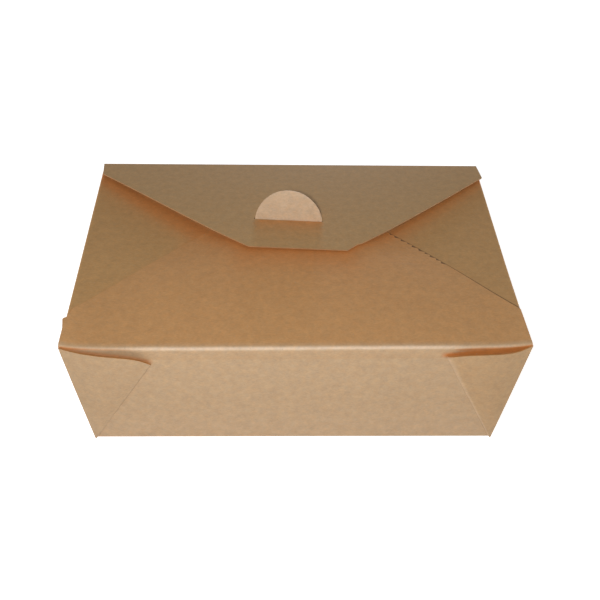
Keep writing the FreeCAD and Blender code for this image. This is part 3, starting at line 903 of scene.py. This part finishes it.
def taper_end(bm):
    """Gives each row of an end sheet its real width, still lying as a front wall."""
    at_crease = END_REACH - 0.5 * MM
    crease_y = -wall_at(BASE_X, SIDE_Z - CREASE_R, BOARD / 2 + CREASE_R)
    for vert in bm.verts:
        x, y, z = vert.co
        if z > SIDE_Z - CREASE_R and y > crease_y + 0.5 * MM:
            near = ease((y - crease_y) / (4 * MM))
            half = at_crease * (1 - near) + side_half(y) * near
        elif z > SIDE_Z - CREASE_R:
            half = at_crease
        elif z < FOOT_TOP_Z - 1e-7:
            half = wall_at(BASE_Y, FOOT_Z, FOOT_Z)
        else:
            half = wall_at(BASE_Y, z, 0) + OUTER_OFF - CORNER_R
        vert.co.x = x * half


print("side flap's tip: %.1f mm" % (2 * side_half(SIDE_TIP_Y) / MM))

# %% Tones of the end sheets
WEB_WARM, BACK_WEB_WARM = {-1: 0.12, 1: 0.42}, 0.25  # the right front web is a shade warmer
LID_SHADE = {-1: (11 * MM, 0.36), 1: (9 * MM, 0.2)}  # width and strength
ZONE_STRENGTH = {-1: 0.8, 1: 0.5}


def end_lit_tone(co):
    """Painted light: the side flap, facing up, is warmer in tone than the end wall."""
    return 0.3 + 0.7 * ease((co.z - 64 * MM) / (2 * MM))


def end_painted_shade(co, width, strength):
    """Painted shade on the side flap beside the lid."""
    return shade_near_lid(co.x, co.y, width, strength) if is_on_flap(co) else 0.0


def is_on_web(co):
    """Whether a point lies on a web, which stands outside the front or back wall."""
    return abs(co.y) > 76 * MM or (abs(co.y) > 70.3 * MM and co.z < 50 * MM)


# %% End sheets
SIDE_ROWS, END_ROWS = 60, 36


def make_end_sheet(name, side_x, front_web, back_web):
    """One end of the box. side_x is 1 for the right end and -1 for the left end."""
    bm = bmesh.new()
    reach = bm.verts.layers.float.new("reach")
    row = first_row(bm, SIDE_TIP_Y, SIDE_Z)
    fold_down(bm, row, BASE_X, SIDE_TIP_Y, SIDE_Z, SIDE_ROWS, END_ROWS)
    low = FOOT_TOP_Z - 0.01 * MM
    high = SIDE_Z - CREASE_R - CREASE_R * math.sin(LEAN) + 0.01 * MM
    corners = [edge for edge in bm.edges if edge.is_boundary
               and all(low < vert.co.z < high for vert in edge.verts)]
    for vert in bm.verts:
        vert[reach] = vert.co.z / high
    taper_end(bm)
    for vert in bm.verts:
        if vert.co.z > SIDE_Z - 0.01 * MM:
            vert.co.z -= side_sag(-side_x * vert.co.y)
    paint(bm, "warm", end_lit_tone)
    bmesh.ops.rotate(bm, verts=bm.verts, matrix=Matrix.Rotation(math.pi / 2, 3, "Z"))
    wear_and_light = bm.verts.layers.float.new("wear_and_light")
    warm, reach = bm.verts.layers.float["warm"], bm.verts.layers.float["reach"]
    front = [edge for edge in corners if edge.verts[0].co.y < 0]
    back = [edge for edge in corners if edge.verts[0].co.y > 0]
    add_web(bm, front, reach, wear_and_light, -1, front_web)
    add_web(bm, back, reach, wear_and_light, 1, back_web)
    if side_x < 0:
        bmesh.ops.scale(bm, verts=bm.verts, vec=(-1, 1, 1))
    bulge_rim(bm)
    for vert in bm.verts:
        if is_on_web(vert.co):
            vert[warm] = WEB_WARM[side_x] if vert.co.y < 0 else BACK_WEB_WARM
        vert[wear_and_light] += floor_bounce_light(vert.co.z)
    paint(bm, "painted_shade", lambda co: end_painted_shade(co, *LID_SHADE[side_x]))
    paint(bm, "lid_zone", lambda co: lid_zone(co, ZONE_STRENGTH[side_x]))
    piece = make_board(bm, name, "kraft_end", "web_cut_edge")
    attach(piece, "box")
    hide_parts("box_body")


make_end_sheet("end_sheet_right", 1, FRONT_RIGHT, BACK)
make_end_sheet("end_sheet_left", -1, FRONT_LEFT, BACK)

# %% [markdown]
# ## The lid flap
#
# The lid starts at its crease on the back rim and lies over the other flaps. It is slightly
# arched and its end stands up off the front flap, higher on the left. Two rows of the grid lie
# on the slot's long sides. The faces between them are deleted over the slot's length.

# %% Lid's outline
LID_REACH = 84.0 * MM
LID_SKEW, END_UNSKEW = 0.06, 0.01
LID_LEFT = [(-4.6, 22.6), (-3.2, 24.9), (9.3, 41.2), (24.2, 58.9), (45.5, 82.8), (66.1, 105.5),
            (78.5, 106.6)]
LID_RIGHT = [(-7.0, 27.0), (-1.8, 32.4), (-0.6, 35.1), (10.5, 48.9), (24.8, 64.9), (43.3, 84.9),
             (62.3, 104.6), (64.6, 107.6), (78.5, 106.4)]


def lid_skew(x, t):
    """The lid was folded a little out of square, so its rows slant."""
    return (LID_SKEW * ease(t / 0.6) - END_UNSKEW * ease((t - 0.75) * 4)) * (x - TONGUE_X)


def lid_half(x, y):
    """Half the lid's width where a slanting row meets the outline, closer with each pass."""
    outline = LID_LEFT if x < 0 else LID_RIGHT
    half = along(outline, y)
    for _ in range(6):
        half = along(outline, y - lid_skew(math.copysign(half, x), (HINGE_Y - y) / LID_REACH))
    return half


print("lid's end: %.1f mm" % (sum(lid_half(x, HINGE_Y - LID_REACH) for x in (-1, 1)) / MM))

# %% Lid's round root
ROOT_BEVEL = 0.45 * BOARD


def round_root(mesh):
    """Makes the lid's root a half round of plain board, as the crease is on the real box."""
    bm = bmesh.new()
    bm.from_mesh(mesh)
    root = [face for face in bm.faces if face.material_index == 1
            and all(abs(vert.co.y - HINGE_Y) < 0.02 * MM for vert in face.verts)]
    edges = {edge for face in root for edge in face.edges if len(edge.link_faces) == 2
             and any(other not in root and other.material_index == 0 for other in edge.link_faces)}
    for face in root:
        face.material_index = 0
    bmesh.ops.bevel(bm, geom=list(edges), offset=ROOT_BEVEL, segments=3, profile=0.5,
                    affect="EDGES", material=-1)
    bm.to_mesh(mesh)
    bm.free()
    print("root rounded along", len(edges), "edges")


# %% Lid
LID_LIFT, LID_BOW, LID_TWIST = 1.4 * MM, 0.7 * MM, 0.3 * MM
TWIST_X = 25 * MM  # the twist is reached this far from the middle
SLOT_HALF = 17.9 * MM
SLOT_FRONT_GAP, SLOT_BACK_GAP = 0.25 * MM, 0.8 * MM
SLOT_BACK = HINGE_Y - SLOT_REACH + BOARD / 2 + SLOT_BACK_GAP
SLOT_FRONT = HINGE_Y - SLOT_REACH - BOARD / 2 - SLOT_FRONT_GAP
SLOT_SHADE, SLOT_SHADE_RUN = 0.5, 9 * MM
BACK_ROWS_OF_LID, FRONT_ROWS_OF_LID = 56, 26


def cut_slot(bm):
    """Puts grid points on the slot's ends and deletes the faces inside it."""
    left, right = TONGUE_X - SLOT_HALF, TONGUE_X + SLOT_HALF
    for level in (SLOT_FRONT, (SLOT_FRONT + SLOT_BACK) / 2, SLOT_BACK):
        nearest_pair([vert for vert in bm.verts if abs(vert.co.y - level) < 0.01 * MM], left, right)
    slot = [face for face in bm.faces if SLOT_FRONT < face.calc_center_median().y < SLOT_BACK
            and left < face.calc_center_median().x < right]
    bmesh.ops.delete(bm, geom=slot, context="FACES")


def slot_painted_shade(co):
    """Painted shade on the strip in front of the slot, under the tongue."""
    if co.y < SLOT_FRONT and abs(co.x - TONGUE_X) < TONGUE_R:
        return SLOT_SHADE * math.exp((co.y - SLOT_FRONT) / SLOT_SHADE_RUN)
    return 0.0


def make_lid():
    """The lid flap with its slot, its lift and its bow."""
    bm = bmesh.new()
    row = first_row(bm, HINGE_Y, HINGE_Z)
    row = run(bm, row, SLOT_BACK - HINGE_Y, 0, BACK_ROWS_OF_LID)
    row = run(bm, row, SLOT_FRONT - SLOT_BACK, 0, 2)
    run(bm, row, HINGE_Y - LID_REACH - SLOT_FRONT, 0, FRONT_ROWS_OF_LID)
    for vert in bm.verts:
        vert.co.x *= lid_half(vert.co.x, vert.co.y)
    cut_slot(bm)
    for vert in bm.verts:
        x, y, z = vert.co
        t = (HINGE_Y - y) / LID_REACH
        vert.co.z += LID_LIFT * t + 4 * LID_BOW * t * (1 - t) - LID_TWIST * t * x / TWIST_X
        vert.co.y -= lid_skew(x, t)
    paint(bm, "painted_shade", slot_painted_shade)
    piece = make_board(bm, "lid_sheet", "kraft_lid", "lid_cut_edge")
    round_root(piece.data)
    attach(piece, "lid")
    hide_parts("lid_flap")


make_lid()

# %% [markdown]
# ## Floor and backdrop
#
# The photograph's background is plain white. The floor is a pale matt surface that adds its own
# white only for what looks straight at it, so the background comes out white while the box gets
# no extra light from it, and the box's shadow still shows faintly.

# %% Floor
FLOOR_SIZE, FLOOR_DROP = 3, 0.05 * MM  # half its width, and how far below the box
FLOOR_GLOW = 0.8


def seen_directly(tree, x, y):
    """1 where the camera, a reflection or a clear material looks straight at the surface."""
    path = add_node(tree, "ShaderNodeLightPath", x, y).outputs
    glossy = math_node(tree, x + 200, y, "MAXIMUM", path["Is Camera Ray"], path["Is Glossy Ray"])
    return math_node(tree, x + 400, y, "MAXIMUM", glossy, path["Is Transmission Ray"])


def make_floor():
    """A wide pale floor that looks white and lights nothing."""
    bm = bmesh.new()
    bmesh.ops.create_grid(bm, x_segments=1, y_segments=1, size=FLOOR_SIZE)
    bmesh.ops.translate(bm, verts=bm.verts, vec=(0, 0, -FLOOR_DROP))
    mesh = bpy.data.meshes.new("floor")
    bm.to_mesh(mesh)
    bm.free()
    floor = add_object("floor", mesh)
    material = bpy.data.materials.new("pale_floor")
    material.use_nodes = True
    tree = material.node_tree
    tree.nodes.clear()
    out = add_node(tree, "ShaderNodeOutputMaterial", 600, 0)
    both = add_node(tree, "ShaderNodeAddShader", 400, 0)
    matt = add_node(tree, "ShaderNodeBsdfDiffuse", 100, 0, Color=(0.8, 0.8, 0.8, 1))
    glow = add_node(tree, "ShaderNodeEmission", 100, -150, Color=(1, 1, 1, 1))
    share = math_node(tree, 0, -300, "MULTIPLY", seen_directly(tree, -600, -150), FLOOR_GLOW)
    tree.links.new(share, glow.inputs["Strength"])
    tree.links.new(matt.outputs["BSDF"], both.inputs[0])
    tree.links.new(glow.outputs["Emission"], both.inputs[1])
    tree.links.new(both.outputs["Shader"], out.inputs["Surface"])
    mesh.materials.append(material)
    print("floor: %d m wide" % (2 * FLOOR_SIZE))


make_floor()

# %% World
WORLD_LIGHT = 0.16
world = bpy.data.worlds.new("studio")
bpy.context.scene.world = world
world.use_nodes = True
world_tree = world.node_tree
background = world_tree.nodes["Background"]
background.inputs["Color"].default_value = (1, 1, 1, 1)
seen = seen_directly(world_tree, -700, -200)
brightness = map_range(world_tree, 0, -200, seen, 0.0, 1.0, WORLD_LIGHT, 1.0)
world_tree.links.new(brightness, background.inputs["Strength"])
print("world: %.2f as light, 1 where it is seen" % WORLD_LIGHT)

# %% [markdown]
# ## Light and camera
#
# The photograph was lit by a flash beside the lens: shadows hide behind what casts them, and a
# thin one shows only at the tongue's right edge. So the main lamp stands a little to the left
# of the camera. Three wide, weak lamps low around the sides and back show the other walls. The
# camera's place and lens were fitted to the tray's corners in the photograph.

# %% Lamps
SIDE_LAMPS = {"left_lamp": (-0.9, 0.1, 0.1), "right_lamp": (0.9, 0.1, 0.1),
              "back_lamp": (0.1, 0.9, 0.1)}


def add_lamp(name, place, aim, size, power):
    """A round lamp that faces a point."""
    data = bpy.data.lights.new(name, "AREA")
    data.shape = "DISK"
    data.size = size
    data.energy = power
    lamp = add_object(name, data)
    lamp.location = place
    lamp.rotation_euler = (Vector(aim) - Vector(place)).to_track_quat("-Z", "Y").to_euler()
    print("%s: %.2f W" % (name, power))


add_lamp("front_lamp", (-0.05, -0.43, 0.37), (0, -0.02, 0.05), 0.045, 1.97)
for lamp_name, lamp_place in SIDE_LAMPS.items():
    add_lamp(lamp_name, lamp_place, (0, 0, 0.04), 0.18, 3.2)

# %% Camera, as the photograph was taken
PITCH, YAW, ROLL = math.radians(38.381), math.radians(2.284), math.radians(1.542)
CAMERA_PLACE = (-12.745 * MM, -417.794 * MM, 362.750 * MM)
camera_data = bpy.data.cameras.new("camera")
camera_data.sensor_width = 36
camera_data.lens = 59.886
camera = add_object("camera", camera_data)
camera.matrix_world = (Matrix.Translation(CAMERA_PLACE) @ Matrix.Rotation(-YAW, 4, "Z")
                       @ Matrix.Rotation(math.pi / 2 - PITCH, 4, "X")
                       @ Matrix.Rotation(ROLL, 4, "Z"))
bpy.context.scene.camera = camera
bpy.context.scene.view_settings.view_transform = "Standard"
print("camera: %.1f mm lens, %.1f degrees down" % (camera_data.lens, math.degrees(PITCH)))
